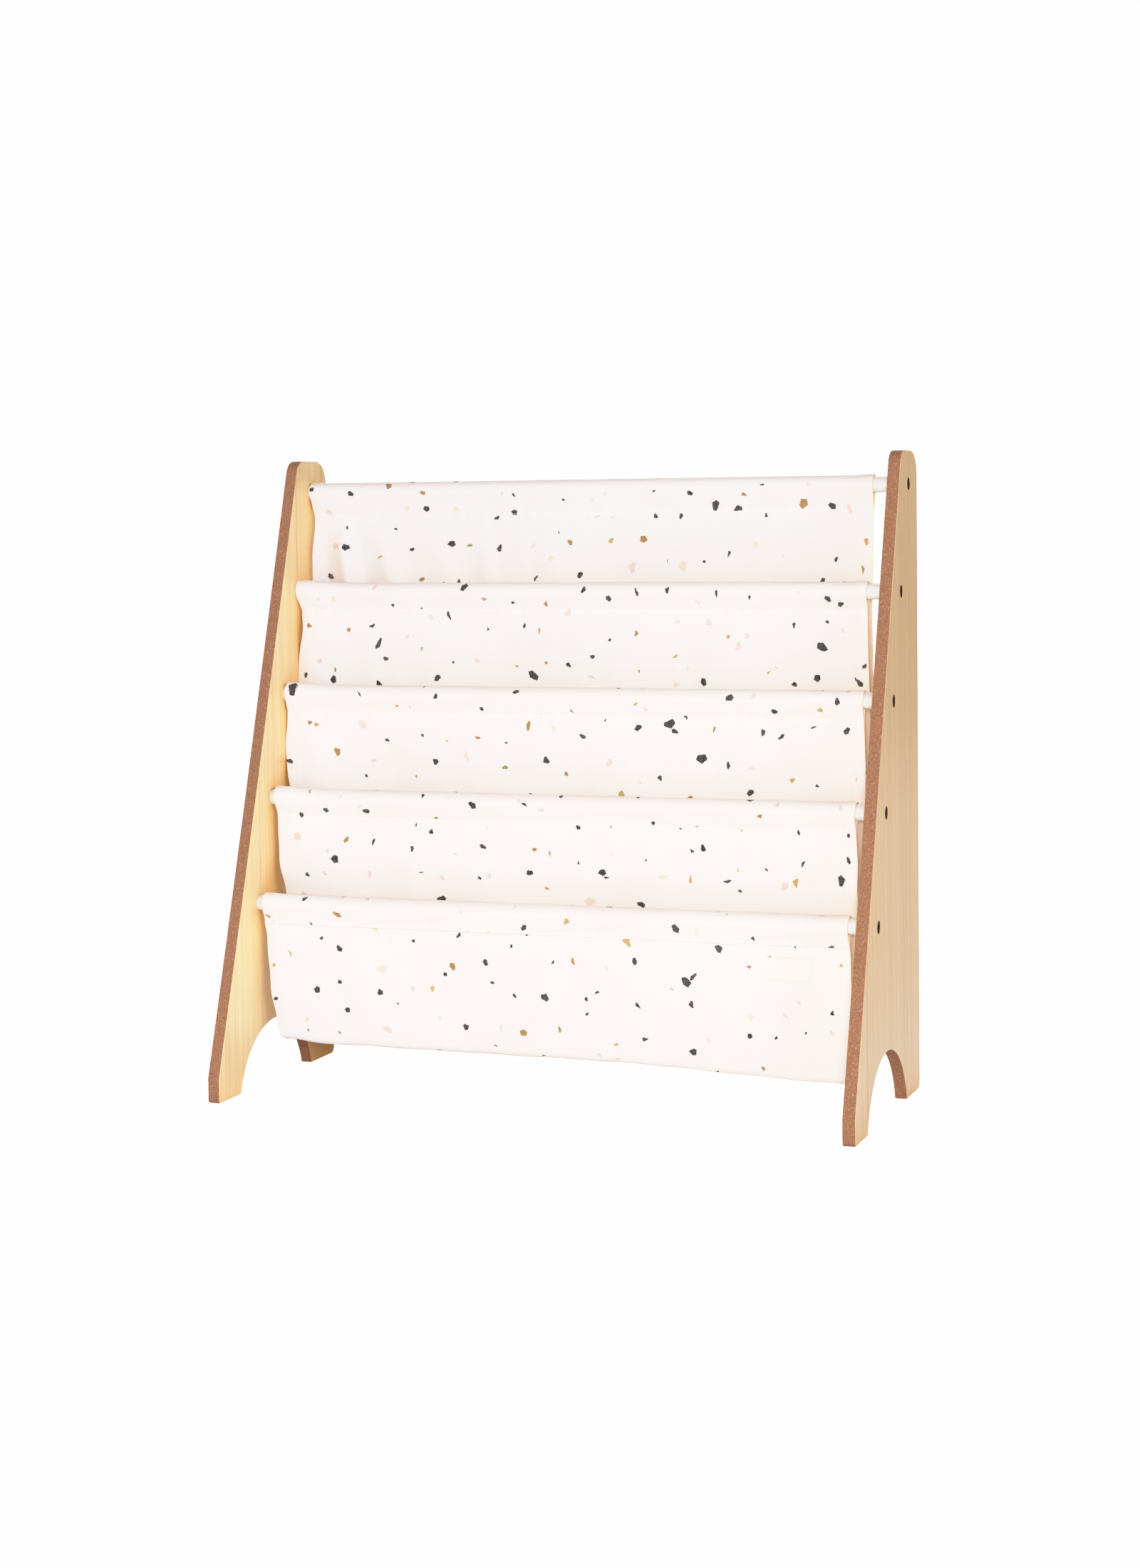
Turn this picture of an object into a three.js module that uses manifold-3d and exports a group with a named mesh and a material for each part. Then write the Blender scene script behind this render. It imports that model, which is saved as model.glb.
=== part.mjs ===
// A child's sling bookshelf: two slanted side panels joined by five rods, and one sewn cloth
// that hangs from the rods in four open pockets.
// Sizes are millimetres. X is the width, Y the depth with the front at -Y, Z is up, and the
// origin is on the floor under the middle of the shelf.

import * as THREE from 'three';
import { mergeVertices } from 'three/addons/utils/BufferGeometryUtils.js';
import Module from 'manifold-3d';

const wasm = await Module();
wasm.setup();

// Side panels
const overallWidth = 628;
const panelThickness = 12;
const panelHeight = 610;
const footDepth = 262;
const topDepth = 66;
const noseHeight = 24;
const frontBow = 1.8;
const topFrontRadius = 17;
const topBackRadius = 22;
const frontFootRadius = 3;
const backFootRadius = 7;
const archWidth = 160;
const archRise = 60.5;
const archForwardShift = 4.3;
const edgeEase = 1;

// Rods
const rodCount = 5;
const rodDiameter = 15.5;
const topRodDrop = 31.2;
const lowRodHeight = 179.2;
const topRodSetBack = 40.63;
const lowRodSetBack = 41.79;
const rodChamfer = 0.8;
const socketDepth = 4;
const socketPlay = 0.5;

// Bolts and the threaded inserts that they screw into
const boltDiameter = 6;
const boltLength = 30;
const headDiameter = 12;
const headRim = 0.5;
const headRecess = 0.4;
const keyAcrossFlats = 4;
const keyDepth = 2.4;
const insertWall = 1.3;
const insertLength = 15;
const insertChamfer = 0.6;
const boreRunout = 3;

// Cloth
const clothLeftGap = 7;
const clothRightGap = 21;
const clothThickness = 1.2;
const topSeamDrop = 25;
const seamDrop = 20;
const seamBand = 3;
const groundGap = 40.5;
const hangClear = 2;
const foldDepth = 2;
const gatherFoldDepth = 2.6;
const leftDrawIn = 8;
const rightDrawIn = 2.5;
const rightSag = 8;

// Label sewn on the front of the lowest pocket
const labelWidth = 44;
const labelHeight = 21;
const labelThickness = 0.5;
const labelLift = 0.3;
const labelSideMargin = 30;
const labelDrop = 11;

// Gaps between pieces, and how far a cutter runs past what it cuts
const fitGap = 0.3;
const cutOverrun = 1;

// How far the cloth's two side edges stand out beside each pocket's mouth, as shares of the gaps
// beside the cloth, from the top pocket down
const leftFlareShares = [0.15, 0.57, -0.64, -0.75];
const rightFlareShares = [0, 0.13, 0.08, 0.17];

// Folds: waves across the cloth's width, and where each seam's waves start, as shares of a turn
const broadWaves = 1.6;
const narrowWaves = 3.7;
const gatherWaves = 9;
const foldLeanShare = 0.5;
const broadFoldShare = 0.6;
const gatherReachShare = 0.45;
const foldStartShares = [0.1, 0.45, 0.8, 0.2, 0.6];
const sagStartShare = 0.55;

// A pocket's profile is shared out between its back leg, its turn at the bottom and its front leg
const backLegShare = 0.5;
const turnShare = 0.22;
const legDrawShare = 0.7;
const clearByShare = 0.35;

const roundSteps = 24;
const fastenerSteps = 16;
const keySides = 6;
const cornerSteps = 6;
const bowSteps = 16;
const archSteps = 28;
const easeSteps = 2;
const backLegRows = 8;
const turnRows = 9;
const frontLegRows = 5;
const clothColumns = 14;
const labelColumns = 4;
const labelRows = 3;

// Colours and finishes
const finishes = {
  panel: { color: 0xe2c79c, roughness: 0.55, metalness: 0 },
  rod: { color: 0xf4f2ee, roughness: 0.4, metalness: 0 },
  bolt: { color: 0x4a3226, roughness: 0.4, metalness: 0.7 },
  insert: { color: 0xb98c3e, roughness: 0.35, metalness: 1 },
  cloth: { color: 0xf6efe9, roughness: 0.9, metalness: 0 },
  label: { color: 0xf8f1e6, roughness: 0.9, metalness: 0 },
};

const part = new THREE.Group();

function addMesh(name, geometry, finish, parent = part) {
  const material = new THREE.MeshStandardMaterial(finishes[finish]);
  const mesh = new THREE.Mesh(geometry, material);
  mesh.name = name;
  parent.add(mesh);
  return mesh;
}

// Turns a profile drawn in Y and Z, and extruded, so that the extrusion runs along X.
const alongX = new THREE.Matrix4().makeBasis(
  new THREE.Vector3(0, 1, 0),
  new THREE.Vector3(0, 0, 1),
  new THREE.Vector3(1, 0, 0),
);

// Extrudes a profile along X from startX, with its end edges eased by a small round.
function extrudeAlongX(outline, length, startX, ease = 0) {
  const geometry = new THREE.ExtrudeGeometry(outline, {
    depth: length - 2 * ease,
    bevelEnabled: ease > 0,
    bevelThickness: ease,
    bevelSize: ease,
    bevelOffset: -ease,
    bevelSegments: easeSteps,
  });
  geometry.applyMatrix4(alongX);
  geometry.translate(startX + ease, 0, 0);
  return geometry;
}

function toSolid(geometry) {
  const bare = geometry.clone();
  bare.deleteAttribute('normal');
  bare.deleteAttribute('uv');
  const merged = mergeVertices(bare);
  return new wasm.Manifold(new wasm.Mesh({
    numProp: 3,
    vertProperties: new Float32Array(merged.attributes.position.array),
    triVerts: new Uint32Array(merged.index.array),
  }));
}

function toGeometry(solid) {
  const mesh = solid.getMesh();
  const geometry = new THREE.BufferGeometry();
  geometry.setAttribute('position', new THREE.BufferAttribute(mesh.vertProperties, 3));
  geometry.setIndex(new THREE.BufferAttribute(mesh.triVerts, 1));
  geometry.computeVertexNormals();
  return geometry;
}

// A turned form whose axis is X. Each point of its profile is a radius and a place along X.
function latheAlongX(profile, steps = roundSteps) {
  const points = profile.map(([radius, along]) => new THREE.Vector2(radius, along));
  const geometry = new THREE.LatheGeometry(points, steps);
  geometry.rotateZ(-Math.PI / 2);
  return geometry;
}

// The straight line from the nose of a panel to its top, the front edge that bows in a little
// behind it, and the places of the rods
const frontSlope = (footDepth - topDepth) / (panelHeight - noseHeight);
const frontY = -footDepth / 2;
const backY = footDepth / 2;
const slantY = (z) => frontY + frontSlope * (z - noseHeight);
const frontEdgeY = (z) => {
  const share = (z - noseHeight) / (panelHeight - noseHeight);
  return slantY(z) + 4 * frontBow * share * (1 - share);
};

const rodPitch = (panelHeight - topRodDrop - lowRodHeight) / (rodCount - 1);
const rodPlaces = Array.from({ length: rodCount }, (_, i) => {
  const z = panelHeight - topRodDrop - i * rodPitch;
  const setBack = THREE.MathUtils.lerp(topRodSetBack, lowRodSetBack, i / (rodCount - 1));
  return { y: slantY(z) + setBack, z };
});

const panelOuterX = overallWidth / 2;
const panelInnerX = panelOuterX - panelThickness;
const rodRadius = rodDiameter / 2;
const rodEndX = panelInnerX + socketDepth - fitGap;
const headFaceX = panelOuterX - headRecess;
const insertRadius = boltDiameter / 2 + fitGap + insertWall;
const boltReach = rodEndX - (headFaceX - boltLength);
const boreDepth = Math.max(boltReach, insertLength) + boreRunout;

// Side panel: a straight back edge, a slanted front edge over a short upright nose, rounded
// corners and an arch that leaves a front and a back foot
function roundedCorner(outline, before, corner, after, radius) {
  const toBefore = before.clone().sub(corner).normalize();
  const toAfter = after.clone().sub(corner).normalize();
  const reach = radius / Math.tan(toBefore.angleTo(toAfter) / 2);
  const start = corner.clone().addScaledVector(toBefore, reach);
  const end = corner.clone().addScaledVector(toAfter, reach);
  const bisector = toBefore.clone().add(toAfter).normalize();
  const centre = corner.clone().addScaledVector(bisector, Math.hypot(radius, reach));
  const startAngle = Math.atan2(start.y - centre.y, start.x - centre.x);
  let turn = Math.atan2(end.y - centre.y, end.x - centre.x) - startAngle;
  turn = Math.atan2(Math.sin(turn), Math.cos(turn));
  for (let i = 0; i <= cornerSteps; i += 1) {
    const angle = startAngle + (turn * i) / cornerSteps;
    outline.push(new THREE.Vector2(
      centre.x + radius * Math.cos(angle),
      centre.y + radius * Math.sin(angle),
    ));
  }
}

function panelOutline() {
  const at = (y, z) => new THREE.Vector2(y, z);
  const frontFoot = at(frontY, 0);
  const nose = at(frontY, noseHeight);
  const topFront = at(slantY(panelHeight), panelHeight);
  const topBack = at(backY, panelHeight);
  const backFoot = at(backY, 0);
  const archFrontY = -archForwardShift - archWidth / 2;
  const archRadius = ((archWidth / 2) ** 2 + archRise ** 2) / (2 * archRise);
  const archCentreZ = archRise - archRadius;
  const outline = [];
  const bowTop = panelHeight - topFrontRadius;
  roundedCorner(outline, at(archFrontY, 0), frontFoot, nose, frontFootRadius);
  for (let i = 0; i <= bowSteps; i += 1) {
    const z = THREE.MathUtils.lerp(noseHeight, bowTop, i / bowSteps);
    outline.push(at(frontEdgeY(z), z));
  }
  roundedCorner(outline, at(frontEdgeY(bowTop), bowTop), topFront, topBack, topFrontRadius);
  roundedCorner(outline, topFront, topBack, backFoot, topBackRadius);
  roundedCorner(outline, topBack, backFoot, at(-archFrontY, 0), backFootRadius);
  const halfAngle = Math.atan2(archWidth / 2, -archCentreZ);
  for (let i = 0; i <= archSteps; i += 1) {
    const angle = halfAngle - (2 * halfAngle * i) / archSteps;
    outline.push(at(
      -archForwardShift + archRadius * Math.sin(angle),
      Math.max(0, archCentreZ + archRadius * Math.cos(angle)),
    ));
  }
  return outline;
}

// What is drilled at each rod, from the outer face inwards: the countersink, the bolt's hole and
// the rod's blind socket
function drillSolid() {
  const sinkRadius = headDiameter / 2 + fitGap;
  const holeRadius = boltDiameter / 2 + fitGap;
  const sinkRim = headRecess + headRim;
  const coneEnd = sinkRim + sinkRadius - holeRadius;
  const socketRadius = rodRadius + socketPlay;
  return toSolid(latheAlongX([
    [0, -cutOverrun],
    [sinkRadius, -cutOverrun],
    [sinkRadius, sinkRim],
    [holeRadius, coneEnd],
    [holeRadius, panelThickness - socketDepth],
    [socketRadius, panelThickness - socketDepth],
    [socketRadius, panelThickness + cutOverrun],
    [0, panelThickness + cutOverrun],
  ], fastenerSteps));
}

// The panel is drawn with its outer face at X = 0 and its inner face towards +X.
function panelGeometry() {
  const outline = new THREE.Shape(panelOutline());
  const slab = toSolid(extrudeAlongX(outline, panelThickness, 0, edgeEase));
  const drill = drillSolid();
  const drilled = rodPlaces.reduce(
    (solid, place) => solid.subtract(drill.translate([0, place.y, place.z])),
    slab,
  );
  return toGeometry(drilled);
}

function addPanels() {
  const geometry = panelGeometry();
  const left = addMesh('side_panel_left', geometry, 'panel');
  left.position.x = -panelOuterX;
  const mirrored = geometry.clone();
  mirrored.scale(-1, 1, 1);
  const index = mirrored.index.array;
  for (let i = 0; i < index.length; i += 3) {
    [index[i + 1], index[i + 2]] = [index[i + 2], index[i + 1]];
  }
  mirrored.computeVertexNormals();
  const right = addMesh('side_panel_right', mirrored, 'panel');
  right.position.x = panelOuterX;
}

// Rod: a turned dowel with eased ends, bored at both for its threaded inserts
function rodGeometry() {
  const boreRadius = insertRadius + fitGap;
  const half = [
    [0, rodEndX - boreDepth],
    [boreRadius, rodEndX - boreDepth],
    [boreRadius, rodEndX],
    [rodRadius - rodChamfer, rodEndX],
    [rodRadius, rodEndX - rodChamfer],
  ];
  const otherHalf = half.map(([radius, along]) => [radius, -along]);
  return latheAlongX([...otherHalf, ...half.reverse()]);
}

function addRods() {
  const geometry = rodGeometry();
  rodPlaces.forEach((place, i) => {
    const rod = addMesh(`rod_${i + 1}`, geometry, 'rod');
    rod.position.set(0, place.y, place.z);
  });
}

// Bolt: a flat countersunk head with a hexagon socket, drawn with its head's face at X = 0
function boltGeometry() {
  const headRadius = headDiameter / 2;
  const shankRadius = boltDiameter / 2;
  const blank = toSolid(latheAlongX([
    [0, 0],
    [headRadius, 0],
    [headRadius, headRim],
    [shankRadius, headRim + headRadius - shankRadius],
    [shankRadius, boltLength - shankRadius / 2],
    [shankRadius / 2, boltLength],
    [0, boltLength],
  ], fastenerSteps));
  const keyRadius = keyAcrossFlats / 2 / Math.cos(Math.PI / keySides);
  const key = toSolid(latheAlongX([
    [0, -cutOverrun],
    [keyRadius, -cutOverrun],
    [keyRadius, keyDepth],
    [0, keyDepth],
  ], keySides));
  return toGeometry(blank.subtract(key));
}

// Threaded insert: a flush brass bush in the end of a rod, drawn with its mouth at X = 0
function insertGeometry() {
  const inner = insertRadius - insertWall;
  return latheAlongX([
    [inner, 0],
    [insertRadius, 0],
    [insertRadius, insertLength - insertChamfer],
    [insertRadius - insertChamfer, insertLength],
    [inner, insertLength],
    [inner, 0],
  ], fastenerSteps);
}

function addFasteners() {
  const bolt = boltGeometry();
  const insert = insertGeometry();
  rodPlaces.forEach((place, i) => {
    for (const [side, turn, direction] of [['left', 0, -1], ['right', Math.PI, 1]]) {
      const boltMesh = addMesh(`bolt_${side}_${i + 1}`, bolt, 'bolt');
      boltMesh.position.set(direction * headFaceX, place.y, place.z);
      boltMesh.rotation.z = turn;
      const insertMesh = addMesh(`insert_${side}_${i + 1}`, insert, 'insert');
      insertMesh.position.set(direction * rodEndX, place.y, place.z);
      insertMesh.rotation.z = turn;
    }
  });
}

// Cloth. Two layers meet at each seam, side by side: the one in front goes on as the back of
// the pocket below, and the one behind comes up as the front of the pocket above.
const clothLeftX = -panelInnerX + clothLeftGap;
const clothRightX = panelInnerX - clothRightGap;
const clothWidth = clothRightX - clothLeftX;
const layerOffset = (clothThickness + fitGap) / 2;
const pocketDepth = lowRodHeight - groundGap;
const seamDropAt = (rod) => (rod === 0 ? topSeamDrop : seamDrop);
const shareAt = (shares, i) => shares[i % shares.length];
const smooth = (t) => THREE.MathUtils.smoothstep(t, 0, 1);

// One side of a sleeve's section: an arc over the rod that runs on, straight, to where its two
// layers close below it. The foot is half the width there.
function sleeveLoop(place, radius, foot, footDrop) {
  const toFoot = Math.atan2(-footDrop, foot);
  const leave = toFoot + Math.acos(radius / Math.hypot(foot, footDrop));
  const sweep = Math.PI - 2 * leave;
  const points = [];
  for (let i = 0; i <= roundSteps; i += 1) {
    const angle = leave + (sweep * i) / roundSteps;
    points.push(new THREE.Vector2(
      place.y + radius * Math.cos(angle),
      place.z + radius * Math.sin(angle),
    ));
  }
  points.push(new THREE.Vector2(place.y - foot, place.z - footDrop));
  return points;
}

// Sleeve: the cloth goes once round its rod, and its two layers are sewn flat together below it
function sleeveShape(place, drop) {
  const inner = rodRadius + fitGap;
  const halfSeam = layerOffset + clothThickness / 2;
  const halfSlit = fitGap / 2;
  const closeDrop = drop - seamBand;
  const slitDrop = closeDrop - fitGap;
  const outside = sleeveLoop(place, inner + clothThickness, halfSeam, closeDrop);
  outside.push(new THREE.Vector2(place.y - halfSeam, place.z - drop));
  outside.push(new THREE.Vector2(place.y + halfSeam, place.z - drop));
  outside.push(new THREE.Vector2(place.y + halfSeam, place.z - closeDrop));
  const inside = sleeveLoop(place, inner, halfSlit, slitDrop);
  inside.push(new THREE.Vector2(place.y + halfSlit, place.z - slitDrop));
  const shape = new THREE.Shape(outside);
  shape.holes.push(new THREE.Path(inside));
  return shape;
}

function addSleeves() {
  rodPlaces.forEach((place, i) => {
    const shape = sleeveShape(place, seamDropAt(i));
    addMesh(`sleeve_${i + 1}`, extrudeAlongX(shape, clothWidth, clothLeftX), 'cloth');
  });
}

// How far the hanging cloth stands forward or back of its own plane, from soft folds that run
// down from a seam. The two layers that hang from one seam share their folds, and the top row
// is gathered at its left.
function foldAt(seam, across, drop) {
  const turn = 2 * Math.PI;
  const start = turn * shareAt(foldStartShares, seam);
  const lean = foldLeanShare * (drop / clothWidth);
  const broad = Math.sin(turn * (broadWaves * across + lean) + start);
  const narrow = Math.sin(turn * (narrowWaves * across - 2 * lean) + 2 * start);
  const gathers = Math.sin(turn * (gatherWaves * across + 3 * lean));
  const gathered = seam === 0 ? smooth(1 - across / gatherReachShare) : 0;
  const plain = foldDepth * THREE.MathUtils.lerp(narrow, broad, broadFoldShare);
  const grown = smooth(drop / (2 * seamDrop));
  return grown * THREE.MathUtils.lerp(plain, gatherFoldDepth * gathers, gathered);
}

// One pocket: down from the upper seam, round the bottom and up to the lower seam. The surface
// gives the point on the middle of the cloth at a share across its width and along its profile.
function pocketSurface(pocket) {
  const backRod = rodPlaces[pocket];
  const frontRod = rodPlaces[pocket + 1];
  const backTopZ = backRod.z - seamDropAt(pocket) - fitGap;
  const frontTopZ = frontRod.z - seamDropAt(pocket + 1) - fitGap;
  const backLegY = backRod.y - layerOffset - hangClear;
  const frontLegY = frontRod.y + layerOffset + hangClear;
  const turnRadius = (backLegY - frontLegY) / 2;
  const lowestZ = frontRod.z - pocketDepth + clothThickness / 2;
  const frontLegShare = 1 - backLegShare - turnShare;

  const backLeg = (across, down, turnTopZ) => {
    const z = THREE.MathUtils.lerp(backTopZ, turnTopZ, down);
    const straighten = 1 - smooth((down - legDrawShare) / (1 - legDrawShare));
    return {
      y: backRod.y - layerOffset - hangClear * smooth(down / clearByShare)
        + foldAt(pocket, across, backTopZ - z) * straighten,
      z,
      drawn: legDrawShare * smooth(down),
      flared: Math.sin(Math.PI * smooth(down)),
    };
  };

  const turn = (round, turnTopZ) => ({
    y: frontLegY + turnRadius * (1 + Math.cos(Math.PI * round)),
    z: turnTopZ - turnRadius * Math.sin(Math.PI * round),
    drawn: THREE.MathUtils.lerp(legDrawShare, 1, Math.sin(Math.PI * round)),
    flared: 0,
  });

  const frontLeg = (across, up, turnTopZ) => {
    const z = THREE.MathUtils.lerp(turnTopZ, frontTopZ, up);
    return {
      y: frontRod.y + layerOffset + hangClear * smooth((1 - up) / clearByShare)
        + foldAt(pocket + 1, across, frontTopZ - z) * smooth(up / clearByShare),
      z,
      drawn: legDrawShare * smooth(1 - up),
      flared: 0,
    };
  };

  return (across, along) => {
    const sag = rightSag * smooth((across - sagStartShare) / (1 - sagStartShare));
    const turnTopZ = lowestZ - sag + turnRadius;
    let point;
    if (along < backLegShare) {
      point = backLeg(across, along / backLegShare, turnTopZ);
    } else if (along < backLegShare + turnShare) {
      point = turn((along - backLegShare) / turnShare, turnTopZ);
    } else {
      point = frontLeg(across, (along - backLegShare - turnShare) / frontLegShare, turnTopZ);
    }
    const leftFlare = clothLeftGap * shareAt(leftFlareShares, pocket) * point.flared;
    const rightFlare = clothRightGap * shareAt(rightFlareShares, pocket) * point.flared;
    const leftX = clothLeftX + leftDrawIn * point.drawn - leftFlare;
    const rightX = clothRightX - rightDrawIn * point.drawn + rightFlare;
    return new THREE.Vector3(THREE.MathUtils.lerp(leftX, rightX, across), point.y, point.z);
  };
}

// The direction square to the cloth in its own profile, away from the inside of the pocket
function outwardAt(surface, across, along, step = 1e-3) {
  const before = surface(across, Math.max(0, along - step));
  const after = surface(across, Math.min(1, along + step));
  const direction = new THREE.Vector3(0, after.y - before.y, after.z - before.z).normalize();
  if (along === 0 || along === 1) {
    direction.set(0, 0, Math.sign(direction.z));
  }
  return new THREE.Vector3(0, -direction.z, direction.y);
}

// A closed sheet between an inner and an outer face, over a grid of shares
function sheetGeometry(surface, acrossShares, alongShares, innerOffset, outerOffset) {
  const columns = acrossShares.length;
  const rows = alongShares.length;
  const faces = [innerOffset, outerOffset].map((offset) => alongShares.flatMap((along) => (
    acrossShares.map((across) => surface(across, along)
      .addScaledVector(outwardAt(surface, across, along), offset)))));
  const positions = faces.flat().flatMap((point) => point.toArray());
  const at = (face, row, column) => face * rows * columns + row * columns + column;
  const index = [];
  const quad = (a, b, c, d) => index.push(a, b, c, a, c, d);
  for (let row = 0; row < rows - 1; row += 1) {
    for (let column = 0; column < columns - 1; column += 1) {
      quad(at(0, row, column), at(0, row + 1, column),
        at(0, row + 1, column + 1), at(0, row, column + 1));
      quad(at(1, row, column), at(1, row, column + 1),
        at(1, row + 1, column + 1), at(1, row + 1, column));
    }
  }
  for (let row = 0; row < rows - 1; row += 1) {
    const last = columns - 1;
    quad(at(0, row, 0), at(1, row, 0), at(1, row + 1, 0), at(0, row + 1, 0));
    quad(at(0, row, last), at(0, row + 1, last), at(1, row + 1, last), at(1, row, last));
  }
  for (let column = 0; column < columns - 1; column += 1) {
    const last = rows - 1;
    quad(at(0, 0, column), at(0, 0, column + 1), at(1, 0, column + 1), at(1, 0, column));
    quad(at(0, last, column), at(1, last, column),
      at(1, last, column + 1), at(0, last, column + 1));
  }
  const geometry = new THREE.BufferGeometry();
  geometry.setAttribute('position', new THREE.Float32BufferAttribute(positions, 3));
  geometry.setIndex(index);
  geometry.computeVertexNormals();
  return geometry;
}

const evenShares = (count, from, to) => (
  Array.from({ length: count + 1 }, (_, i) => THREE.MathUtils.lerp(from, to, i / count)));

function addPockets() {
  const turnEnd = backLegShare + turnShare;
  const profileShares = [
    ...evenShares(backLegRows, 0, backLegShare),
    ...evenShares(turnRows, backLegShare, turnEnd).slice(1),
    ...evenShares(frontLegRows, turnEnd, 1).slice(1),
  ];
  const half = clothThickness / 2;
  for (let pocket = 0; pocket < rodCount - 1; pocket += 1) {
    const columns = pocket === 0 ? 2 * clothColumns : clothColumns;
    const geometry = sheetGeometry(
      pocketSurface(pocket), evenShares(columns, 0, 1), profileShares, -half, half);
    addMesh(`pocket_${pocket + 1}`, geometry, 'cloth');
  }
}

// Label: a plain tab that lies on the front of the lowest pocket and follows its folds
function addLabel() {
  const pocket = rodCount - 2;
  const rod = rodPlaces[rodCount - 1];
  const seamZ = rod.z - seamDrop - fitGap;
  const surface = pocketSurface(pocket);
  const turnEnd = backLegShare + turnShare;
  const right = 1 - labelSideMargin / clothWidth;
  const left = right - labelWidth / clothWidth;
  const legTop = surface((left + right) / 2, turnEnd).z;
  const shareAtZ = (z) => THREE.MathUtils.mapLinear(z, legTop, seamZ, turnEnd, 1);
  const top = shareAtZ(seamZ - labelDrop);
  const bottom = shareAtZ(seamZ - labelDrop - labelHeight);
  const underside = clothThickness / 2 + fitGap + labelLift;
  const geometry = sheetGeometry(
    surface,
    evenShares(labelColumns, left, right),
    evenShares(labelRows, bottom, top),
    underside,
    underside + labelThickness,
  );
  addMesh('label', geometry, 'label');
}

addPanels();
addRods();
addFasteners();
addSleeves();
addPockets();
addLabel();

export default part;
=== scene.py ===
"""Looks for a child's sling bookshelf: two slanted boards, five white rods and a printed cloth
that hangs from the rods in four open pockets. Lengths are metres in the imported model's frame."""

import math

import bpy
import numpy as np
from mathutils import Matrix, Vector


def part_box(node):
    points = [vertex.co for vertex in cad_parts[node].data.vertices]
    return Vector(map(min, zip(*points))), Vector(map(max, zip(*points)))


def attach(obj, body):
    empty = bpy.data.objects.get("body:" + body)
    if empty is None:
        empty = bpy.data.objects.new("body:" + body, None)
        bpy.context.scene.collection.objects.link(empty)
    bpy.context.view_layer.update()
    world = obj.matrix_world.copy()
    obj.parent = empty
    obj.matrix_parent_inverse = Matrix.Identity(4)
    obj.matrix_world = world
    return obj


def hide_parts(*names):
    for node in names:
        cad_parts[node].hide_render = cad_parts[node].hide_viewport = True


MM = 0.001
SEED = 4107

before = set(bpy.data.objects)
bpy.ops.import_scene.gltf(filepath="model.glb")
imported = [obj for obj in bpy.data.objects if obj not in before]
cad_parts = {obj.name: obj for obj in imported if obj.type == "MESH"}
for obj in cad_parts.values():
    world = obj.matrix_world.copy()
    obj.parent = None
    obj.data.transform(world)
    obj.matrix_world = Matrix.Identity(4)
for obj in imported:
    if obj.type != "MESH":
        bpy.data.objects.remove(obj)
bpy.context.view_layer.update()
bpy.ops.object.select_all(action="DESELECT")

# Camera and studio
# The camera's frame is in the photograph's pixels, its place in metres and its turns in radians.

PHOTO_HEIGHT = 2200
PRINCIPAL_ROW = 900
FOCAL_PIXELS = 3836.09
SENSOR = 36.0
NEAREST, FARTHEST = 0.05, 60
EYE = Vector((0.87492, -2.43384, 0.55295))
YAW, PITCH, ROLL = 0.341957821, -0.0461721, -0.0110186

# How bright each strength of light shows, up to BRIGHTEST, which shows as the studio's white
BRIGHTEST = 1.4
TONES = ((0.0, 0.0), (0.45, 0.45), (0.7, 0.695), (0.85, 0.82), (1.0, 0.89), (1.2, 0.945),
         (BRIGHTEST, 0.99))

# Strength of the even light from in front of the shelf and from behind it
FRONT_GLOW, BACK_GLOW = 0.37, 0.13

# Name, place, aim, width and height, watts and colour
SOFTBOXES = (
    ("key_light", (0.93, -2.68, 0.7), (0, 0, 0.2), (0.5, 0.5), 51, (1, 0.995, 0.99)),
    ("fill_light", (-1.6, -2.7, 1.6), (0, 0, 0.25), (2.2, 1.6), 27, (0.93, 0.97, 1)),
    ("right_light", (3.0, -1.3, 1.2), (0, 0, 0.3), (1.8, 1.4), 28, (1, 0.98, 0.95)),
    ("left_light", (-3.2, 0.7, 1.5), (0, 0, 0.3), (2.0, 1.6), 30, (1, 0.98, 0.96)),
    ("back_light", (-0.6, 3.0, 2.4), (0, 0, 0.3), (2.4, 1.6), 78, (1, 0.98, 0.97)),
)
FLOOR_RADIUS = 9.0


def add_camera():
    """The photograph's camera, solved from the object's own corners."""
    ahead = Vector((
        -math.sin(YAW) * math.cos(PITCH), math.cos(YAW) * math.cos(PITCH), math.sin(PITCH)))
    level = ahead.cross(Vector((0, 0, 1))).normalized()
    upright = level.cross(ahead)
    right = math.cos(ROLL) * level + math.sin(ROLL) * upright
    up = -math.sin(ROLL) * level + math.cos(ROLL) * upright
    lens = bpy.data.cameras.new("photo_camera")
    lens.sensor_width = SENSOR
    lens.lens = FOCAL_PIXELS * SENSOR / PHOTO_HEIGHT
    lens.shift_y = (PRINCIPAL_ROW - PHOTO_HEIGHT / 2) / PHOTO_HEIGHT
    lens.clip_start, lens.clip_end = NEAREST, FARTHEST
    camera = bpy.data.objects.new("photo_camera", lens)
    turn = Matrix((right, up, -ahead)).transposed().to_4x4()
    camera.matrix_world = Matrix.Translation(EYE) @ turn
    bpy.context.collection.objects.link(camera)
    bpy.context.scene.camera = camera


def set_tones():
    """Plain colours with a soft shoulder, so that brightly lit white cloth keeps its folds."""
    view = bpy.context.scene.view_settings
    view.view_transform = "Standard"
    view.use_curve_mapping = True
    curves = view.curve_mapping
    curves.white_level = (BRIGHTEST,) * 3
    curves.use_clip = False
    curves.extend = "HORIZONTAL"
    # The fourth curve is for all three colours together
    points = curves.curves[3].points
    for _ in range(len(TONES) - len(points)):
        points.new(0.5, 0.5)
    for point, (light, shown) in zip(points, TONES):
        point.location = (light / BRIGHTEST, shown)
    curves.update()


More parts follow.
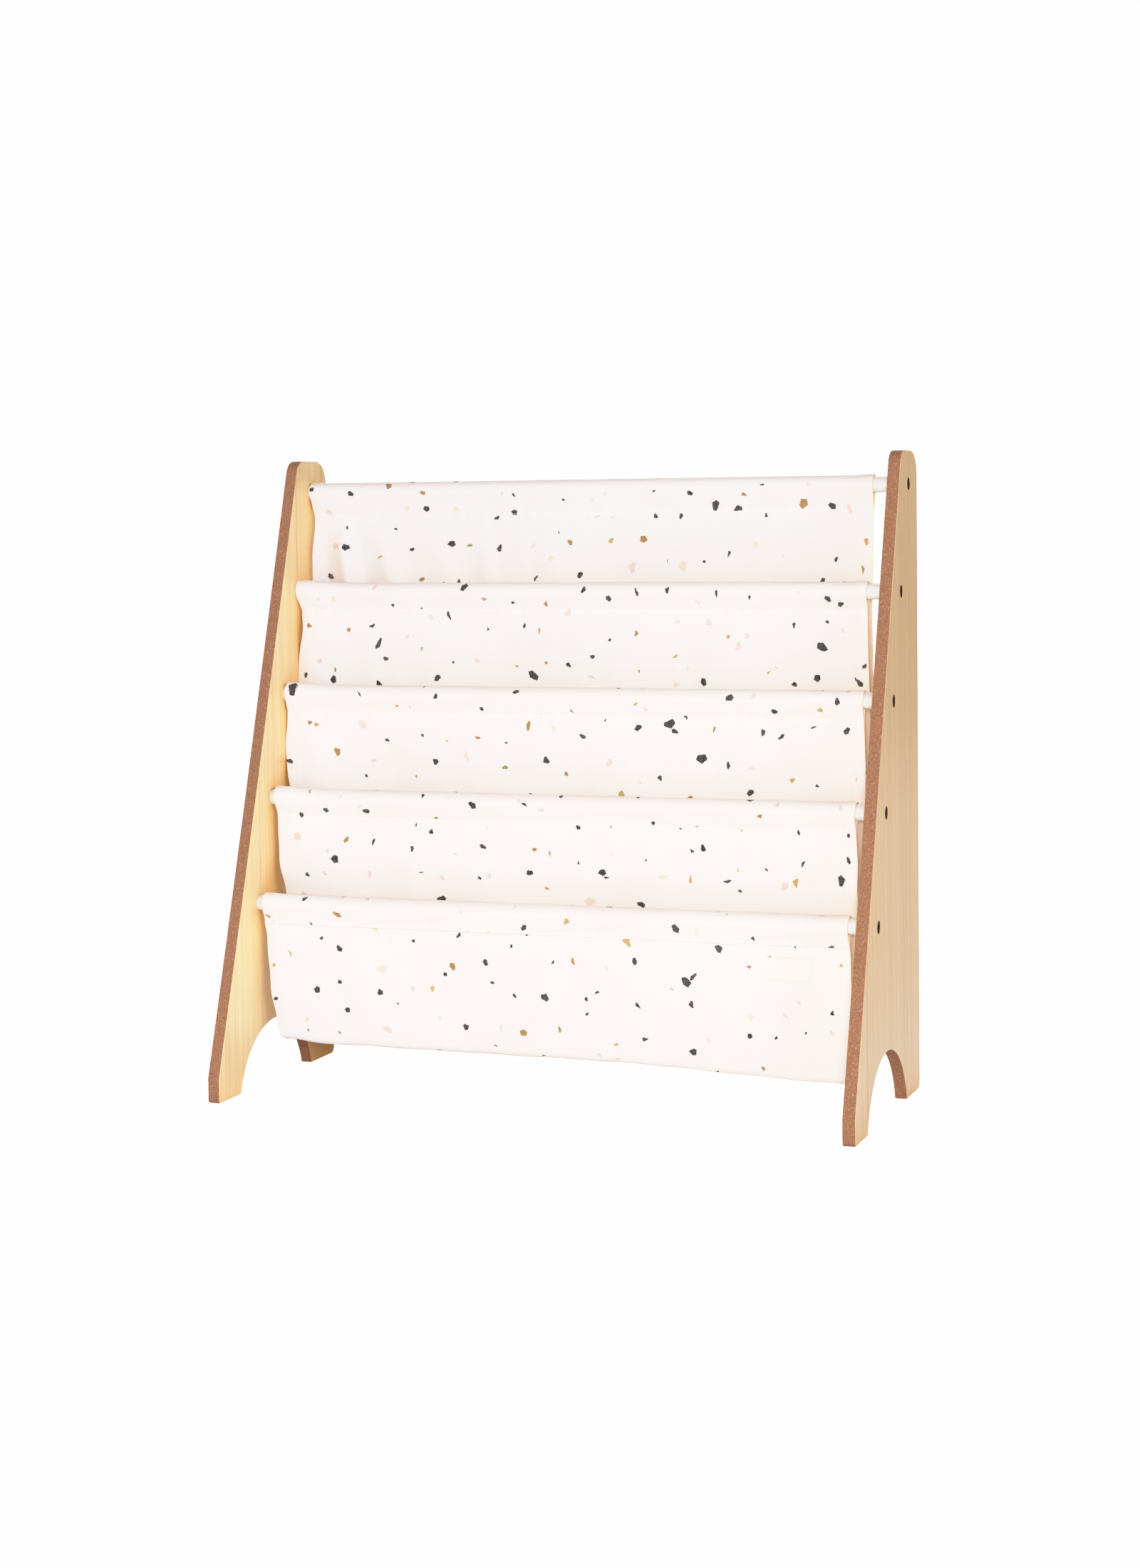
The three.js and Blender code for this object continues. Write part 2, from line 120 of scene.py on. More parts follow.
def add_world():
    """Soft light from all round, stronger from the front. The camera sees plain white behind."""
    world = bpy.data.worlds.new("studio")
    world.use_nodes = True
    bench = Bench(world.node_tree)
    way = bench.node("SeparateXYZ", {0: bench.node("TexCoord").outputs["Generated"]})
    glow = bench.spread(way.outputs["Y"], -1.0, 1.0, FRONT_GLOW, BACK_GLOW)
    seen = bench.node("LightPath").outputs["Is Camera Ray"]
    extra = bench.math("MULTIPLY", seen, bench.math("SUBTRACT", BRIGHTEST, glow))
    backdrop = world.node_tree.nodes["Background"]
    backdrop.inputs["Color"].default_value = (1, 1, 1, 1)
    bench.join(bench.math("ADD", glow, extra), backdrop.inputs["Strength"])
    bpy.context.scene.world = world


def add_softbox(name, place, aim, size, watts, colour):
    """A large soft lamp, turned to its aim."""
    light = bpy.data.lights.new(name, "AREA")
    light.shape = "RECTANGLE"
    light.size, light.size_y = size
    light.energy = watts
    light.color = colour
    box = bpy.data.objects.new(name, light)
    box.location = place
    box.rotation_euler = (Vector(aim) - Vector(place)).to_track_quat("-Z", "Y").to_euler()
    bpy.context.collection.objects.link(box)


# Node helpers


def tint(code):
    """A web colour code as the linear colour that shaders take."""
    parts = [int(code[i:i + 2], 16) / 255 for i in (1, 3, 5)]
    return (*(p / 12.92 if p <= 0.04045 else ((p + 0.055) / 1.055) ** 2.4 for p in parts), 1.0)


class Bench:
    """Adds nodes to one tree and joins them up."""

    def __init__(self, tree):
        self.tree = tree

    def node(self, kind, inputs=None, **settings):
        made = self.tree.nodes.new("ShaderNode" + kind)
        for name, value in settings.items():
            setattr(made, name, value)
        for key, value in (inputs or {}).items():
            self.join(value, made.inputs[key])
        return made

    def join(self, value, socket):
        if isinstance(value, bpy.types.NodeSocket):
            self.tree.links.new(value, socket)
        else:
            socket.default_value = value

    def math(self, operation, *values):
        return self.node("Math", dict(enumerate(values)), operation=operation).outputs[0]

    def vector(self, operation, *values):
        made = self.node("VectorMath", dict(enumerate(values)), operation=operation)
        return made.outputs["Value" if operation == "DOT_PRODUCT" else "Vector"]

    def spread(self, value, low, high, to_low=0.0, to_high=1.0, smooth=False):
        """Maps low..high to another range, clamped."""
        kind = "SMOOTHSTEP" if smooth else "LINEAR"
        return self.node("MapRange", {
            "Value": value, "From Min": low, "From Max": high,
            "To Min": to_low, "To Max": to_high}, interpolation_type=kind).outputs["Result"]

    def mix(self, share, first, second):
        """Two colours mixed by a share. The node's other sockets are for numbers and vectors."""
        made = self.node("Mix", data_type="RGBA")
        for index, value in ((0, share), (6, first), (7, second)):
            self.join(value, made.inputs[index])
        return made.outputs[2]

    def stretched(self, vector, scales, shift=(0, 0, 0)):
        return self.node("Mapping", {
            "Vector": vector, "Scale": scales, "Location": shift}).outputs["Vector"]

    def noise(self, vector, scales, detail, roughness=0.5, shift=(0, 0, 0)):
        """Soft noise, with its scales along X, Y and Z counted per metre."""
        return self.node("TexNoise", {
            "Vector": self.stretched(vector, scales, shift), "Scale": 1.0, "Detail": detail,
            "Roughness": roughness}).outputs["Fac"]

    def group(self, tree, inputs):
        made = self.tree.nodes.new("ShaderNodeGroup")
        made.node_tree = tree
        for key, value in inputs.items():
            self.join(value, made.inputs[key])
        return made


def new_group(name, settings, results):
    """A shared effect. It takes a place and some settings, and gives masks, heights or picks."""
    tree = bpy.data.node_groups.new(name, "ShaderNodeTree")
    tree.interface.new_socket("Vector", in_out="INPUT", socket_type="NodeSocketVector")
    for label in settings:
        tree.interface.new_socket(label, in_out="INPUT", socket_type="NodeSocketFloat")
    for label in results:
        tree.interface.new_socket(label, in_out="OUTPUT", socket_type="NodeSocketFloat")
    bench = Bench(tree)
    given = tree.nodes.new("NodeGroupInput").outputs
    result = tree.nodes.new("NodeGroupOutput").inputs
    return bench, given, result


def new_material(name, **shader_values):
    """A material with its own shader, and the bench to work on it."""
    material = bpy.data.materials.new(name)
    material.use_nodes = True
    shader = material.node_tree.nodes["Principled BSDF"]
    for key, value in shader_values.items():
        shader.inputs[key.replace("_", " ")].default_value = value
    return material, Bench(material.node_tree), shader


def bump_into(bench, shader, height, strength, distance):
    """Relief on a surface: one unit of the height stands for a distance in metres."""
    made = bench.node("Bump", {"Height": height, "Strength": strength, "Distance": distance})
    bench.join(made.outputs["Normal"], shader.inputs["Normal"])


# Shared effects

# How finely and how far the outlines of the chips wobble, how freely they are scattered, how slim
# they get and how rare large ones are
CHIP_RAGGEDNESS, CHIP_WOBBLE = 1100.0, 1.6 * MM
CHIP_SCATTER, CHIP_SLIMMEST, CHIP_RARITY = 0.94, 1.9, 1.7

# Which way each side of a chip faces, in degrees, and how near and far it can lie
CHIP_SIDES = (8, 86, 150, 223, 301)
CHIP_REACHES = (0.34, 1.3)


def weave_group():
    """Plain weave on the cloth's own flat coordinates, with slubs in both directions."""
    bench, given, result = new_group("plain_weave", ["Pitch"], ["Height", "Slub"])
    parts = bench.node("SeparateXYZ", {0: given["Vector"]})
    turn = bench.math("DIVIDE", math.pi, given["Pitch"])
    across = bench.math("SINE", bench.math("MULTIPLY", parts.outputs["X"], turn))
    along = bench.math("SINE", bench.math("MULTIPLY", parts.outputs["Y"], turn))
    over = bench.spread(bench.math("MULTIPLY", across, along), -0.3, 0.3)
    warp = bench.math("MULTIPLY", bench.math("ABSOLUTE", across), over)
    weft = bench.math("MULTIPLY", bench.math("ABSOLUTE", along), bench.math("SUBTRACT", 1.0, over))
    warp_slub = bench.noise(given["Vector"], (900, 45, 1), 2.0)
    weft_slub = bench.noise(given["Vector"], (40, 800, 1), 2.0)
    slub = bench.math("MULTIPLY", bench.math("ADD", warp_slub, weft_slub), 0.5)
    threads = bench.math("ADD", warp, weft)
    bench.join(bench.math("MULTIPLY_ADD", slub, 1.6, threads), result["Height"])
    bench.join(slub, result["Slub"])
    return bench.tree


def chip_group():
    """Scattered stone chips: in each cell one small angular shape, with its own turn, size,
    slimness and sides. Large chips are rare. Pick is one random number for each chip, for its
    colour."""
    bench, given, result = new_group(
        "stone_chips", ["Spacing", "Smallest", "Largest"], ["Mask", "Pick"])
    ragged = bench.node("TexNoise", {
        "Vector": given["Vector"], "Scale": CHIP_RAGGEDNESS, "Detail": 1.0})
    wobble = bench.node("VectorMath", {
        0: bench.vector("SUBTRACT", ragged.outputs["Color"], (0.5, 0.5, 0.5)),
        "Scale": CHIP_WOBBLE}, operation="SCALE").outputs["Vector"]
    place = bench.vector("ADD", given["Vector"], wobble)
    cells = bench.node("TexVoronoi", {
        "Vector": place, "Scale": bench.math("DIVIDE", 1.0, given["Spacing"]),
        "Randomness": CHIP_SCATTER}, voronoi_dimensions="2D", feature="F1")
    first = bench.node("SeparateXYZ", {0: cells.outputs["Color"]})
    more = bench.node("TexWhiteNoise", {"Vector": cells.outputs["Color"]})
    second = bench.node("SeparateXYZ", {0: more.outputs["Color"]})
    flat = bench.node("SeparateXYZ", {0: bench.vector(
        "SUBTRACT", place, cells.outputs["Position"])})
    offset = bench.node("CombineXYZ", {"X": flat.outputs["X"], "Y": flat.outputs["Y"]})
    turned = bench.node("VectorRotate", {
        "Vector": offset.outputs["Vector"],
        "Angle": bench.math("MULTIPLY", first.outputs["X"], 2 * math.pi)},
        rotation_type="Z_AXIS").outputs["Vector"]
    slim = bench.node("CombineXYZ", {
        "X": 1.0, "Y": bench.spread(second.outputs["Y"], 0.0, 1.0, 1.0, CHIP_SLIMMEST),
        "Z": 1.0})
    turned = bench.vector("MULTIPLY", turned, slim.outputs["Vector"])
    big = bench.math("POWER", first.outputs["Y"], CHIP_RARITY)
    size = bench.math("MULTIPLY_ADD", big, bench.math(
        "SUBTRACT", given["Largest"], given["Smallest"]), given["Smallest"])
    lengths = (first.outputs["Z"], second.outputs["X"], bench.math("FRACT", bench.math(
        "MULTIPLY", first.outputs["Y"], 13.7)), second.outputs["Z"], more.outputs["Value"])
    reach = None
    for angle, length in zip(CHIP_SIDES, lengths):
        way = (math.cos(math.radians(angle)), math.sin(math.radians(angle)), 0.0)
        share = bench.spread(length, 0.0, 1.0, *CHIP_REACHES)
        part = bench.math("DIVIDE", bench.vector("DOT_PRODUCT", turned, way), share)
        reach = part if reach is None else bench.math("MAXIMUM", reach, part)
    pick = bench.math("FRACT", bench.math("MULTIPLY", bench.math(
        "ADD", first.outputs["X"], second.outputs["Z"]), 7.31))
    bench.join(bench.math("LESS_THAN", reach, size), result["Mask"])
    bench.join(pick, result["Pick"])
    return bench.tree


def wood_group():
    """Straight pale grain that runs up the board: broad warm and cool bands, fine lines of many
    widths and a few faint pointed figures."""
    bench, given, result = new_group("pale_grain", [], ["Band", "Line", "Pore"])
    sway = bench.noise(given["Vector"], (3, 5, 1.3), 2.0)
    parts = bench.node("SeparateXYZ", {0: given["Vector"]})
    shifted = bench.node("CombineXYZ", {
        "X": bench.math("MULTIPLY", parts.outputs["X"], 6.0),
        "Y": bench.math("MULTIPLY_ADD", sway, 0.012, parts.outputs["Y"]),
        "Z": bench.math("MULTIPLY", parts.outputs["Z"], 0.02)}).outputs["Vector"]
    band = bench.noise(shifted, (1, 34, 1), 2.0)
    coarse = bench.noise(shifted, (1, 150, 4), 2.0, 0.6, (0, 3, 0))
    fine = bench.noise(shifted, (1, 340, 7), 3.0, 0.6)
    figure = bench.node("TexWave", {
        "Vector": bench.stretched(shifted, (0.2, 1, 3.4), (0, 0.31, 0.9)),
        "Scale": 62.0, "Distortion": 1.4, "Detail": 2.0, "Detail Scale": 0.8},
        wave_type="RINGS", rings_direction="X", wave_profile="SAW").outputs["Fac"]
    lines = bench.math("ADD", bench.spread(coarse, 0.46, 0.66, 0.0, 0.55), bench.math(
        "ADD", bench.spread(fine, 0.5, 0.66, 0.0, 0.8), bench.math("MULTIPLY", figure, 0.2)))
    faded = bench.noise(shifted, (1, 46, 9), 2.0, shift=(0, 0.7, 0))
    lines = bench.math("MULTIPLY", lines, bench.spread(faded, 0.36, 0.62, 0.3, 1.1))
    pore = bench.noise(given["Vector"], (300, 2300, 34), 2.0, 0.6)
    bench.join(bench.spread(band, 0.36, 0.64), result["Band"])
    bench.join(lines, result["Line"])
    bench.join(bench.spread(pore, 0.62, 0.78), result["Pore"])
    return bench.tree


def fibreboard_group():
    """Cut edge of fibreboard: matted fibres with light and dark specks."""
    bench, given, result = new_group("cut_fibreboard", [], ["Fibre", "Speck"])
    fibre = bench.noise(given["Vector"], (1500, 700, 700), 3.0, 0.7)
    speck = bench.noise(given["Vector"], (620, 520, 520), 2.0, 0.6, (3, 5, 7))
    bench.join(bench.spread(fibre, 0.3, 0.7), result["Fibre"])
    bench.join(bench.spread(speck, 0.55, 0.75), result["Speck"])
    return bench.tree


def handling_group():
    """Slow uneven marks that make a plain finish a little brighter or duller from place to
    place."""
    bench, given, result = new_group("handling_marks", ["Scale"], ["Amount"])
    made = bench.node("TexNoise", {
        "Vector": given["Vector"], "Scale": given["Scale"], "Detail": 4.0, "Roughness": 0.6})
    bench.join(bench.spread(made.outputs["Fac"], 0.3, 0.7), result["Amount"])
    return bench.tree


# Materials

# The middle of each board along X, and how far out from there its cut edge reaches
PANEL_MIDDLE = 0.308
PANEL_CORE = 5.7 * MM

# Heights up the board of the painted floor light on its foot and of the painted light on its upper
# part, and where the painted shade on the back foot lies
FLOOR_BOUNCE_TOP = 0.2
PALER_UPPER_PART = (0.3, 0.58)
HEEL_HEIGHT, HEEL_DEPTH = (0.03, 0.1), (0.05, 0.09)

# Within this distance, surfaces near each other get painted warm light and shade from each other
PAINTED_WARMTH_REACH = 60 * MM

# Where along the cloth its painted cool left end, the inner part that gets painted warm light, and
# the right end with more painted warm light begin and finish
COOLED_LEFT_END = (0.0, 0.09)
INNER_START = (0.04, 0.14)
INNER_STOP = (0.53, 0.57)
RIGHT_END = (0.54, 0.56)

# Along the strip, which runs down from 0: the top rows that get painted shade, how much one row
# takes, where in it the
# # part begins that turns and goes up behind the next row, and where the last such part ends
SHADED_TOP_ROWS = (-0.8, -0.25)
ROW_RUN = 0.428
TUCKED_PART = (0.55, 0.65)
LAST_TUCK = (-1.4, -1.35)

CLOTH_PITCH, LABEL_PITCH = 0.52 * MM, 0.34 * MM
CHIP_SPACING = 30.8 * MM
SMALLEST_CHIP, LARGEST_CHIP = 2.3 * MM, 5.0 * MM
PRINT_SHIFT = (0.37, 1.7, 0.0)

# The share of the chips from which each colour holds
CHIP_COLOURS = (
    (0.0, "#131316"), (0.52, "#98743A"), (0.61, "#B5945A"), (0.69, "#DFC2BB"), (0.87, "#E6CBB6"))

# Patches of the floor that only the shelf sees: a bright one in front, a dim one at the back foot
GLOW_HALF_WIDTH, GLOW_MIDDLE, GLOW_HALF_DEPTH = (0.4, 0.55), -0.36, (0.12, 0.22)
DIM_LEFT, DIM_RIGHT, DIM_MIDDLE, DIM_HALF_DEPTH = (-0.38, -0.3), (0.0, 0.25), 0.1, (0.08, 0.16)


def place_of(bench):
    return bench.node("TexCoord").outputs["Object"]


def painted_warmth_openness(bench):
    """How open a spot is to its surroundings, from 0 to 1. The materials use it to paint warm light
    and shade where cloth and boards stand close together."""
    return bench.node("AmbientOcclusion", {"Distance": PAINTED_WARMTH_REACH}, samples=6).outputs["AO"]


def board_material(grain, fibreboard, marks):
    """Pale grained skin on both faces of the board, raw fibreboard on every cut edge. The inner
    face is a lighter straw, which stands in for the light the cloth throws on it, the outer one tan.
    Painted floor light makes both paler towards the floor, and painted light makes the outer face
    paler up its upper part."""
    material, bench, shader = new_material("board", Coat_Roughness=0.16)
    place = place_of(bench)
    wood = bench.group(grain, {"Vector": place}).outputs
    spot = bench.node("SeparateXYZ", {0: place}).outputs
    depth = bench.math("SUBTRACT", bench.math("ABSOLUTE", spot["X"]), PANEL_MIDDLE)
    outer = bench.math("GREATER_THAN", depth, 0.0)
    # Painted light: the floor's bounce light, painted in, makes the skin paler towards the foot
    low = bench.spread(spot["Z"], FLOOR_BOUNCE_TOP, 0.0, 0.0, 0.66, smooth=True)
    # The inner face's lighter straw stands in for the light the cloth throws on it
    straw = bench.mix(wood["Band"], tint("#F3D29C"), tint("#F7DAA9"))
    tan = bench.mix(wood["Band"], tint("#F5CC91"), tint("#F7CF9D"))
    # Painted light: the outer face gets paler up its upper part
    tan = bench.mix(bench.spread(spot["Z"], *PALER_UPPER_PART, 0.0, 0.7), tan, tint("#FFDCAC"))
    tan = bench.mix(low, tan, tint("#FFE6C8"))
    # The same painted floor light on the inner face, at half strength
    straw = bench.mix(bench.math("MULTIPLY", low, 0.5), straw, tint("#FFECCB"))
    # Painted shade: the inner face of the back foot is painted a warm shaded brown
    painted_heel_shade = bench.math("MULTIPLY", bench.spread(
        spot["Z"], *HEEL_HEIGHT, 0.7, 0.0), bench.spread(spot["Y"], *HEEL_DEPTH))
    straw = bench.mix(painted_heel_shade, straw, tint("#DC9A68"))
    skin = bench.mix(outer, straw, tan)
    skin = bench.mix(bench.math("MULTIPLY", wood["Line"], 0.7), skin, tint("#D3A25E"))
    skin = bench.mix(bench.math("MULTIPLY", wood["Pore"], 0.3), skin, tint("#AD7F49"))
    # Painted warm shade: more orange where the board stands close to the cloth and rods
    warm = bench.spread(painted_warmth_openness(bench), 0.3, 0.8, 0.9, 0.0)
    skin = bench.mix(warm, skin, tint("#FFBE68"))
    core = bench.group(fibreboard, {"Vector": place}).outputs
    edge = bench.mix(core["Fibre"], tint("#744530"), tint("#AB7957"))
    edge = bench.mix(bench.math("MULTIPLY", core["Speck"], 0.6), edge, tint("#C79A7A"))
    cut = bench.math("LESS_THAN", bench.math("ABSOLUTE", depth), PANEL_CORE)
    bench.join(bench.mix(cut, skin, edge), shader.inputs["Base Color"])
    marked = bench.group(marks, {"Vector": place, "Scale": 22.0}).outputs["Amount"]
    satin = bench.spread(marked, 0.0, 1.0, 0.3, 0.4)
    bench.join(bench.math("MULTIPLY_ADD", cut, 0.5, satin), shader.inputs["Roughness"])
    bench.join(bench.math("MULTIPLY_ADD", cut, -0.2, 0.2), shader.inputs["Coat Weight"])
    relief = bench.math("SUBTRACT", bench.math("MULTIPLY", core["Fibre"], cut), bench.math(
        "MULTIPLY", wood["Pore"], bench.math("SUBTRACT", 1.0, cut)))
    bump_into(bench, shader, relief, 0.5, 0.00012)
    return material


def cloth_material(weave, chips, marks):
    """Warm white cotton with a stone-chip print: charcoal, ochre, pale pink and pale beige. Its
    left end has a painted cool tint that cancels the warm light the board throws on it, and its top
    rows are greyer with painted shade. Where its layers lie close together, painted warm light makes
    it paler and warmer, warmest at the right end of each pocket's bottom and of the layer behind the
    next row."""
    material, bench, shader = new_material(
        "printed_cloth", Roughness=0.88, Sheen_Weight=0.12, Sheen_Roughness=0.5,
        Specular_IOR_Level=0.25)
    flat = bench.node("UVMap", uv_map="flat_cloth").outputs["UV"]
    threads = bench.group(weave, {"Vector": flat, "Pitch": CLOTH_PITCH}).outputs
    warm = bench.group(marks, {"Vector": flat, "Scale": 12.0}).outputs["Amount"]
    colour = bench.mix(warm, tint("#F5E7E3"), tint("#F1E1DC"))
    colour = bench.mix(bench.spread(threads["Slub"], 0.3, 0.7, 0.0, 0.16), colour, tint("#E9DCD2"))
    parts = bench.node("SeparateXYZ", {0: flat}).outputs
    across, along = parts["X"], parts["Y"]
    # Painted cool tint at the left end, which cancels the warm light the board throws on it
    colour = bench.mix(bench.spread(across, *COOLED_LEFT_END, 0.7, 0.0), colour, tint("#EFEBF0"))
    # Painted shade: the top rows are greyer
    colour = bench.mix(bench.spread(along, *SHADED_TOP_ROWS, 0.0, 0.5), colour, tint("#E4DBD9"))
    # Painted warm light where the layers lie close together: paler where a little sheltered, peach
    # deep in shelter, less of both at the cloth's ends
    free = painted_warmth_openness(bench)
    inner = bench.math("ADD", bench.spread(across, *INNER_START, 0.15, 0.8), bench.spread(
        across, *INNER_STOP, 0.0, -0.15))
    for low, high, share, code in ((0.4, 0.92, 0.9, "#FDF0E7"), (0.08, 0.4, 0.95, "#FFD6A2")):
        near = bench.math("MULTIPLY", inner, bench.spread(free, low, high, share, 0.0))
        colour = bench.mix(near, colour, tint(code))
    # Painted warm light at the right end of each pocket's bottom and of the layer tucked behind the
    # next row
    part = bench.math("FRACT", bench.math("MULTIPLY", along, -1 / ROW_RUN))
    tucked = bench.math("MULTIPLY", bench.spread(part, *TUCKED_PART), bench.spread(
        along, *LAST_TUCK))
    behind = bench.math("MULTIPLY", bench.spread(across, *RIGHT_END, 0.0, 0.95), tucked)
    colour = bench.mix(behind, colour, tint("#FFDFB4"))
    chip = bench.group(chips, {
        "Vector": bench.vector("ADD", flat, PRINT_SHIFT), "Spacing": CHIP_SPACING,
        "Smallest": SMALLEST_CHIP, "Largest": LARGEST_CHIP}).outputs
    stone = tint(CHIP_COLOURS[0][1])
    for start, code in CHIP_COLOURS[1:]:
        stone = bench.mix(bench.math("GREATER_THAN", chip["Pick"], start), stone, tint(code))
    ink = bench.spread(threads["Slub"], 0.35, 0.65, 0.88, 1.0)
    colour = bench.mix(bench.math("MULTIPLY", chip["Mask"], ink), colour, stone)
    bench.join(colour, shader.inputs["Base Color"])
    bump_into(bench, shader, threads["Height"], 0.35, 0.00009)
    return material


def label_material(weave):
    """Finely woven cream tape."""
    material, bench, shader = new_material(
        "label_tape", Roughness=0.6, Sheen_Weight=0.1, Sheen_Roughness=0.4)
    flat = bench.node("UVMap", uv_map="flat_cloth").outputs["UV"]
    threads = bench.group(weave, {"Vector": flat, "Pitch": LABEL_PITCH}).outputs
    colour = bench.mix(
        bench.spread(threads["Slub"], 0.3, 0.7), tint("#FBE9DE"), tint("#F5DFD3"))
    bench.join(colour, shader.inputs["Base Color"])
    bump_into(bench, shader, threads["Height"], 0.35, 0.00006)
    return material


def thread_material():
    """Twisted off-white sewing thread."""
    material, bench, shader = new_material(
        "sewing_thread", Roughness=0.7, Sheen_Weight=0.15, Specular_IOR_Level=0.35)
    place = place_of(bench)
    twist = bench.node("TexWave", {
        "Vector": place, "Scale": 900.0, "Distortion": 0.6}, bands_direction="DIAGONAL")
    colour = bench.mix(twist.outputs["Fac"], tint("#E9DFD6"), tint("#FAF6F1"))
    bench.join(colour, shader.inputs["Base Color"])
    bump_into(bench, shader, twist.outputs["Fac"], 0.5, 0.00008)
    return material


def rod_material(marks):
    """White paint over turned wood: satin, with the wood's long grain just showing through."""
    material, bench, shader = new_material(
        "white_paint", Coat_Weight=0.25, Coat_Roughness=0.18, Specular_IOR_Level=0.45)
    place = place_of(bench)
    grain = bench.noise(place, (14, 900, 900), 3.0, 0.6)
    worn = bench.group(marks, {"Vector": place, "Scale": 35.0}).outputs["Amount"]
    colour = bench.mix(grain, tint("#D6D5D3"), tint("#E4E3E1"))
    bench.join(colour, shader.inputs["Base Color"])
    bench.join(bench.spread(worn, 0.0, 1.0, 0.3, 0.42), shader.inputs["Roughness"])
    bump_into(bench, shader, grain, 0.3, 0.00008)
    return material


def metal_material(name, dark, light, metallic, rough, scale, marks):
    """A fastener's finish, from dark to light in fine specks, with turning marks. A lacquered one
    isn't metallic and shines less."""
    material, bench, shader = new_material(
        name, Metallic=metallic, Specular_IOR_Level=0.2 + 0.3 * metallic)
    place = place_of(bench)
    worn = bench.group(marks, {"Vector": place, "Scale": scale}).outputs["Amount"]
    specks = bench.noise(place, (scale * 4.0,) * 3, 4.0, 0.7)
    colour = bench.mix(bench.spread(specks, 0.45, 0.8), tint(dark), tint(light))
    bench.join(colour, shader.inputs["Base Color"])
    bench.join(bench.spread(worn, 0.0, 1.0, rough, rough + 0.2), shader.inputs["Roughness"])
    turned = bench.node("TexWave", {
        "Vector": place, "Scale": 420.0, "Distortion": 0.4}, bands_direction="X")
    bump_into(bench, shader, turned.outputs["Fac"], 0.15, 0.00005)
    return material


def floor_material(marks):
    """Plain pale floor. Where the camera looks at it, most of its white is its own light, so that
    only a breath of shade is left under the feet. What the shelf gets back from it is brighter
    in front, and dim and warm behind the left foot."""
    material, bench, shader = new_material("studio_floor", Roughness=0.9, Emission_Strength=1.33)
    seen = bench.node("LightPath").outputs["Is Camera Ray"]
    place = place_of(bench)
    amount = bench.group(marks, {"Vector": place, "Scale": 2.0}).outputs["Amount"]
    plain = bench.mix(amount, tint("#F0F0F0"), tint("#EBEBEB"))
    spot = bench.node("SeparateXYZ", {0: place}).outputs
    wide = bench.spread(bench.math("ABSOLUTE", spot["X"]), *GLOW_HALF_WIDTH, 0.68, 0.0)
    ahead = bench.spread(bench.math("ABSOLUTE", bench.math(
        "SUBTRACT", spot["Y"], GLOW_MIDDLE)), *GLOW_HALF_DEPTH, 1.0, 0.0)
    glow = bench.mix(bench.math("MULTIPLY", wide, ahead), (0, 0, 0, 1), (1, 0.99, 0.97, 1))
    bench.join(bench.mix(seen, glow, (1, 1, 1, 1)), shader.inputs["Emission Color"])
    along = bench.math("MULTIPLY", bench.spread(spot["X"], *DIM_LEFT), bench.spread(
        spot["X"], *DIM_RIGHT, 1.0, 0.0))
    behind = bench.spread(bench.math("ABSOLUTE", bench.math(
        "SUBTRACT", spot["Y"], DIM_MIDDLE)), *DIM_HALF_DEPTH, 1.0, 0.0)
    plain = bench.mix(bench.math("MULTIPLY", along, behind), plain, tint("#6A5244"))
    bench.join(bench.mix(seen, plain, (0.13, 0.13, 0.13, 1)), shader.inputs["Base Color"])
    return material


# Cloth
# One long sheet. Each row of it starts behind its rod at the seam, goes over the rod, down the
# front to the seam again, down the back of its pocket, round the bottom and up to the next seam.

ROD_COUNT = 5
ROD_RADIUS = 7.75 * MM
CLOTH_WIDTH = 583 * MM
CLOTH_THICK = 0.9 * MM
SLEEVE_PLAY = 0.3 * MM
TOP_SEAM_DROP = 25 * MM
SEAM_DROP = 20 * MM
SEAM_BAND = 3 * MM
SEAM_GAP = 0.3 * MM
SEAM_OFFSET = 0.5 * MM
LEG_OFFSET = 0.75 * MM
POCKET_FLOOR = 40.5 * MM
HANG_CLEAR = 2 * MM
TURN_SQUARENESS = 0.62
FOLD_DEPTH = 3 * MM
GATHER_DEPTH = 5 * MM
GATHER_COUNT = 13
GATHERED_SHARE = 0.55
CREASE_DEPTH = 0.8 * MM
PUCKER_DEPTH, PUCKER_REACH = 0.8 * MM, 5 * MM
GROOVE_DEPTH, GROOVE_WIDTH = 0.25 * MM, 1.1 * MM
EDGE_CURL, EDGE_REACH = 1.1 * MM, 14 * MM
LEFT_DRAW_IN = 8 * MM
RIGHT_DRAW_IN = 2.5 * MM
RIGHT_SAG = 8 * MM
LEFT_LIFT = 3.4 * MM
FOLDS_END = 0.7
HEM_RISE = 0.35 * MM
HEM_FALL = 11.8 * MM
HEM_STITCH = 10.9 * MM

# Steps of the mesh round a rod, down a seam's band, down a pocket, round it, up, and across
ROD_STEPS, BAND_STEPS = 17, 5
BACK_STEPS, TURN_STEPS, FRONT_STEPS = 61, 24, 34
MIDDLE_STEPS = 138

# The row of a band that its stitches lie in, and where the round side of a sheet has points
GROOVE_ROW = 2
ROUND_STEPS = (0.7, 0.0, -0.7)

